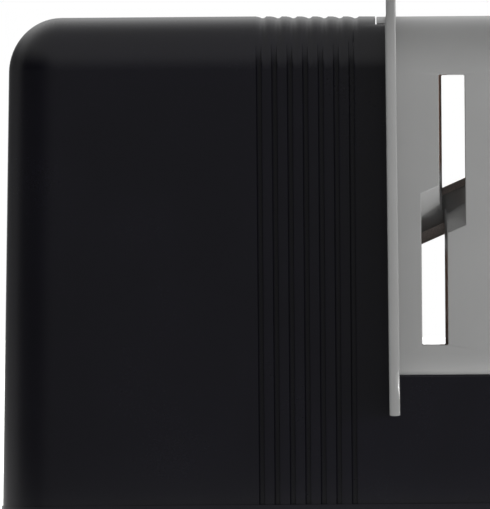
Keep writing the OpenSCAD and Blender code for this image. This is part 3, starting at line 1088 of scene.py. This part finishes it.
@dataclass
class ScrewSet(Assembly):
    """Pan head screws with a cross recess; the brim is two steps (inset, drop) at the head's rim."""

    finish = ZINC
    name: str
    node: str
    places: tuple
    outward: tuple
    head_radius: float = 2.0
    head_height: float = 1.4
    dome_inset: float = 0.1
    dome: float = 0.35
    brim: tuple = ((0.03, 0.4), (0.0, 0.5))
    shank_radius: float = 0.85
    shank_length: float = 3.0
    tip: float = 0.4
    recess: float = 0.7
    recess_rise: float = 0.35
    wing: tuple = (0.27, 1.1)
    wing_wall: float = 0.06
    around: int = 128
    rings: int = 45

    def wing_share(self, across: np.ndarray, along: np.ndarray) -> np.ndarray:
        """Share of the depth of one pair of wings: a soft step across it times one along it."""
        near, end = ((edge - way) / self.wing_wall + 0.5 for way, edge in zip((across, along), self.wing))
        return np.clip(near, 0.0, 1.0) * np.clip(end, 0.0, 1.0)

    def screw(self) -> Shell:
        """One screw along Z, its seat at the origin.

        The top is a low dome over (radius, angle), lowered inside a cross: the
        depth is the product of two soft steps, across and along each wing.

        Returns:
            The closed surface.
        """
        turn = np.linspace(0.0, 2.0 * math.pi, self.around, endpoint=False)
        share = np.linspace(0.0, 1.0, self.rings)[:, None]
        r = share * (self.head_radius - self.dome_inset)
        x, y = np.abs(r * np.cos(turn)), np.abs(r * np.sin(turn))
        cross = np.maximum(self.wing_share(x, y), self.wing_share(y, x))
        dome = self.head_height - self.dome * share**2 + 0.0 * turn
        top = dome - self.recess * cross * (1.0 - self.recess_rise * np.hypot(x, y) / self.wing[1])
        side = np.array([
            *((self.head_radius - inset, self.head_height - drop) for inset, drop in self.brim),
            (self.head_radius, 0.0),
            (self.shank_radius, 0.0),
            (self.shank_radius, -self.shank_length),
            (0.0, -self.shank_length - self.tip),
        ])
        radius = np.vstack([r + 0.0 * turn, side[:, :1] + 0.0 * turn])
        height = np.vstack([top, side[:, 1:] + 0.0 * turn])
        return Shell.grid(np.dstack([radius * np.cos(turn), radius * np.sin(turn), height]), ring=True)

    def build(self) -> Iterable[tuple]:
        """Makes the set's piece: one screw at each place, turned to face outwards."""
        turn = np.array(Vector((0.0, 0.0, 1.0)).rotation_difference(Vector(self.outward)).to_matrix())
        piece = Shell.together([self.screw().placed(turn, place) for place in self.places]).piece(self.name)
        softened(piece, corner=30.0)
        yield piece, self.node


@dataclass
class CarriedOver:
    """Solids that are shown as they are, in a better finish."""

    finishes: tuple = (("base_plate", BLACK_PLASTIC), ("head_mount_screws", ZINC))

    def dress(self) -> None:
        """Gives each solid its finish."""
        for name, finish in self.finishes:
            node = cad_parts[name]
            node.data.materials.clear()
            node.data.materials.append(finish.make())
            LOG.info("%s: %s", name, finish.name)


# Studio and view


@dataclass(frozen=True)
class Lamp:
    """A soft rectangular lamp: its place and its width and height in metres, and its power in watts."""

    name: str
    place: tuple
    size: tuple
    power: float


@dataclass(frozen=True)
class Glow:
    """A soft patch of the surroundings: its strength, and the span where it fades in along each way."""

    strength: float
    spans: Mapping[Way, tuple]


@dataclass
class Studio:
    """White floor, white surroundings above and behind, dim ones in front, and soft lamps on the right.

    The camera sees plain white. A glossy surface sees the floor's sheen and the
    levels around it. A matt one gets the floor's bounce, the glows and the lamps.
    A span is where a smooth step goes from 0 to 1: in metres on the floor, and
    as a part of the direction's length in the surroundings.
    """

    middle: tuple = (0.0, 0.0, 0.03)
    floor_half: float = 3.0
    floor_unseen: float = 0.02
    floor_seen: float = 0.88
    floor_white: float = 0.55
    sheen: tuple = (0.12, 0.9)
    sheen_front: tuple = (-0.05, -0.02)
    sheen_spread: float = 0.1
    sheen_left: tuple = (0.12, 0.4)
    bounce: float = 2.95
    bounce_left: float = 0.2
    bounce_back: float = 0.4
    bounce_spans: tuple = ((-0.05, 0.16), (-0.02, 0.04))
    front: float = 0.183
    left: float = 0.025
    left_span: tuple = (0.25, 0.75)
    horizon: tuple = ((0.2, (0.0, 0.3)), (0.1, (0.4, 0.75)), (1.25, (0.95, 1.0)))
    above: float = 0.5
    behind: float = 1.25
    behind_span: tuple = (0.05, 0.8)
    high_span: tuple = (0.05, 0.6)
    high_left: float = 0.15
    high_left_span: tuple = (0.2, 0.6)
    soft: float = 0.04
    glows: tuple = (
        Glow(1.3, {Way.BACK: (0.2, 0.8)}),
        Glow(3.3, {Way.BACK: (0.2, 0.5), Way.UP: (0.6, 0.85)}),
        Glow(1.8, {Way.BACK: (0.5, 0.8), Way.UP: (0.2, 0.5)}),
        Glow(1.0, {Way.MIDDLE: (-0.14, -0.11), Way.FRONT: (0.5, 0.8), Way.UP: (0.05, 0.2)}),
        Glow(1.1, {Way.LEFT: (0.1, 0.7), Way.UP: (0.3, 0.8)}),
    )
    lamps: tuple = (
        Lamp("key", (0.98, -0.66, 0.1), (0.9, 0.2), 7.0),
        Lamp("rear", (0.75, 0.8, 0.3), (0.7, 0.7), 4.0),
    )
    side: Lamp = Lamp("side", (1.15, 0.41, 0.05), (0.08, 0.2), 12.0)

    def floor(self) -> None:
        """Makes the floor; its sheen fades in front of the object and far to the left."""
        size = self.floor_half
        made = bpy.data.meshes.new("floor")
        corners = [(-size, -size, 0.0), (size, -size, 0.0), (size, size, 0.0), (-size, size, 0.0)]
        made.from_pydata(corners, [], [(0, 1, 2, 3)])
        piece = added("floor", made)
        paint = bpy.data.materials.new("floor_white")
        paint.use_nodes = True
        board = Board(paint.node_tree)
        seen, gloss = board.rays()
        x, y, _ = board.axes(board.places())
        lit = (y - self.sheen_spread * abs(x)).step(*self.sheen_front) * (1 - (-x).step(*self.sheen_left))
        right, back = (way.step(*span) for way, span in zip((x, y), self.bounce_spans))
        matt = self.bounce * mixed(self.bounce_left, 1.0, right) * mixed(1.0, self.bounce_back, back)
        unseen = mixed(matt, mixed(*self.sheen, lit), gloss)
        strength = mixed(unseen, self.floor_white, seen)
        colour = board.blend(seen, toned(self.floor_unseen), toned(self.floor_seen))
        plain = board.flow("BsdfDiffuse", {"Color": colour})
        shine = board.flow("Emission", {"Color": toned(1.0), "Strength": strength})
        both = board.flow("AddShader", {0: plain, 1: shine})
        board.node("OutputMaterial", {"Surface": both})
        paint.cycles.emission_sampling = "NONE"
        made.materials.append(paint)

    def surroundings(self) -> None:
        """Makes the world: bright behind, half as bright above, dim in front and dark on the left."""
        world = bpy.data.worlds.new("studio")
        world.use_nodes = True
        bpy.context.scene.world = world
        board = Board(world.node_tree)
        x, y, z = board.axes(board.flow("TexCoord", output="Generated"))
        ways = {Way.LEFT: -x, Way.MIDDLE: -abs(x), Way.FRONT: -y, Way.BACK: y, Way.UP: z}
        low = mixed(self.front, self.left, ways[Way.LEFT].step(*self.left_span))
        for level, span in self.horizon:
            low = mixed(low, level, y.step(*span))
        high = mixed(self.above, self.behind, y.step(*self.behind_span))
        lift = z - self.high_left * ways[Way.LEFT].step(*self.high_left_span)
        glossy = mixed(low, high, lift.step(*self.high_span))
        matt = self.soft
        for glow in self.glows:
            steps = (ways[way].step(*span) for way, span in glow.spans.items())
            matt = matt + math.prod(steps, start=glow.strength)
        seen, gloss = board.rays()
        level = mixed(mixed(matt, glossy, gloss), 1.0, seen)
        sky = board.flow("Background", {"Color": toned(1.0), "Strength": level})
        world.cycles.sampling_method = "NONE"
        board.node("OutputWorld", {"Surface": sky})

    def lamp(self, lamp: Lamp) -> Object:
        """Adds a lamp that faces the object and lights matt surfaces alone.

        Args:
            lamp: its name, place, size and power.

        Returns:
            The lamp's object.
        """
        data = bpy.data.lights.new(lamp.name, "AREA")
        data.shape = "RECTANGLE"
        data.size, data.size_y = lamp.size
        data.energy = lamp.power
        piece = added(lamp.name, data)
        piece.visible_camera = False
        piece.visible_glossy = False
        piece.location = lamp.place
        ahead = Vector(self.middle) - Vector(lamp.place)
        piece.rotation_euler = ahead.to_track_quat("-Z", "Y").to_euler()
        return piece

    def glint(self, piece: Object) -> None:
        """Adds the narrow side lamp, which only makes the glint on one piece's edge."""
        lamp = self.lamp(self.side)
        lamp.data.diffuse_factor = 0.0
        lamp.visible_glossy = True
        shown = bpy.data.collections.new("glint")
        shown.objects.link(piece)
        lamp.light_linking.receiver_collection = shown

    def set_up(self) -> None:
        """Makes the floor, the surroundings and the lamps."""
        self.floor()
        self.surroundings()
        for lamp in self.lamps:
            self.lamp(lamp)
        bpy.context.scene.view_settings.view_transform = "Standard"


@dataclass
class ProductView:
    """A long lens in front of the slot, turned a little left so that the grip fills the frame.

    The aim, the stand (X, Z) and the distance are millimetres, and the scale is
    pixels a millimetre at the front face.
    """

    aim: tuple = (-3.48, -13.5, 30.11)
    stand: tuple = (18.5, 36.0)
    away: float = 2200.0
    pixels: tuple = (490, 509)
    scale: float = 9.04
    roll: float = 0.45
    sensor: float = 36.0
    clip: tuple = (0.05, 20.0)

    def set_up(self) -> None:
        """Makes the camera; its lens spans the frame's long side at the front face."""
        data = bpy.data.cameras.new("product_view")
        data.sensor_width = self.sensor
        data.lens = self.sensor * self.away * self.scale / max(self.pixels)
        data.clip_start, data.clip_end = self.clip
        piece = added("product_view", data)
        spot = Vector((self.stand[0], self.aim[1] - self.away, self.stand[1])) * MM
        ahead = (Vector(self.aim) * MM - spot).normalized()
        right = ahead.cross(Vector((0.0, 0.0, 1.0))).normalized()
        level = Matrix((right, right.cross(ahead), -ahead)).transposed()
        turn = level @ Matrix.Rotation(math.radians(-self.roll), 3, "Z")
        piece.matrix_world = Matrix.Translation(spot) @ turn.to_4x4()
        bpy.context.scene.camera = piece


def main() -> None:
    """Builds every sub-assembly, the studio and the view."""
    logging.basicConfig(level=logging.INFO, format="%(name)s: %(message)s")
    ProductView().set_up()
    studio = Studio()
    studio.set_up()
    parts = (
        GripHousing(),
        SlottedHead(),
        FingerGuard(),
        CeramicRod(),
        FootSet(),
        ScrewSet("base_screw_skins", "base_screws", BASE_SCREWS, (0.0, 0.0, -1.0)),
        ScrewSet("clamp_screw_skins", "head_clamp_screws", CLAMP_SCREWS, (0.0, 1.0, 0.0)),
        CarriedOver(),
    )
    for part in parts:
        part.dress()
    studio.glint(bpy.data.objects["guard_plate"])


if __name__ == "__main__":
    main()
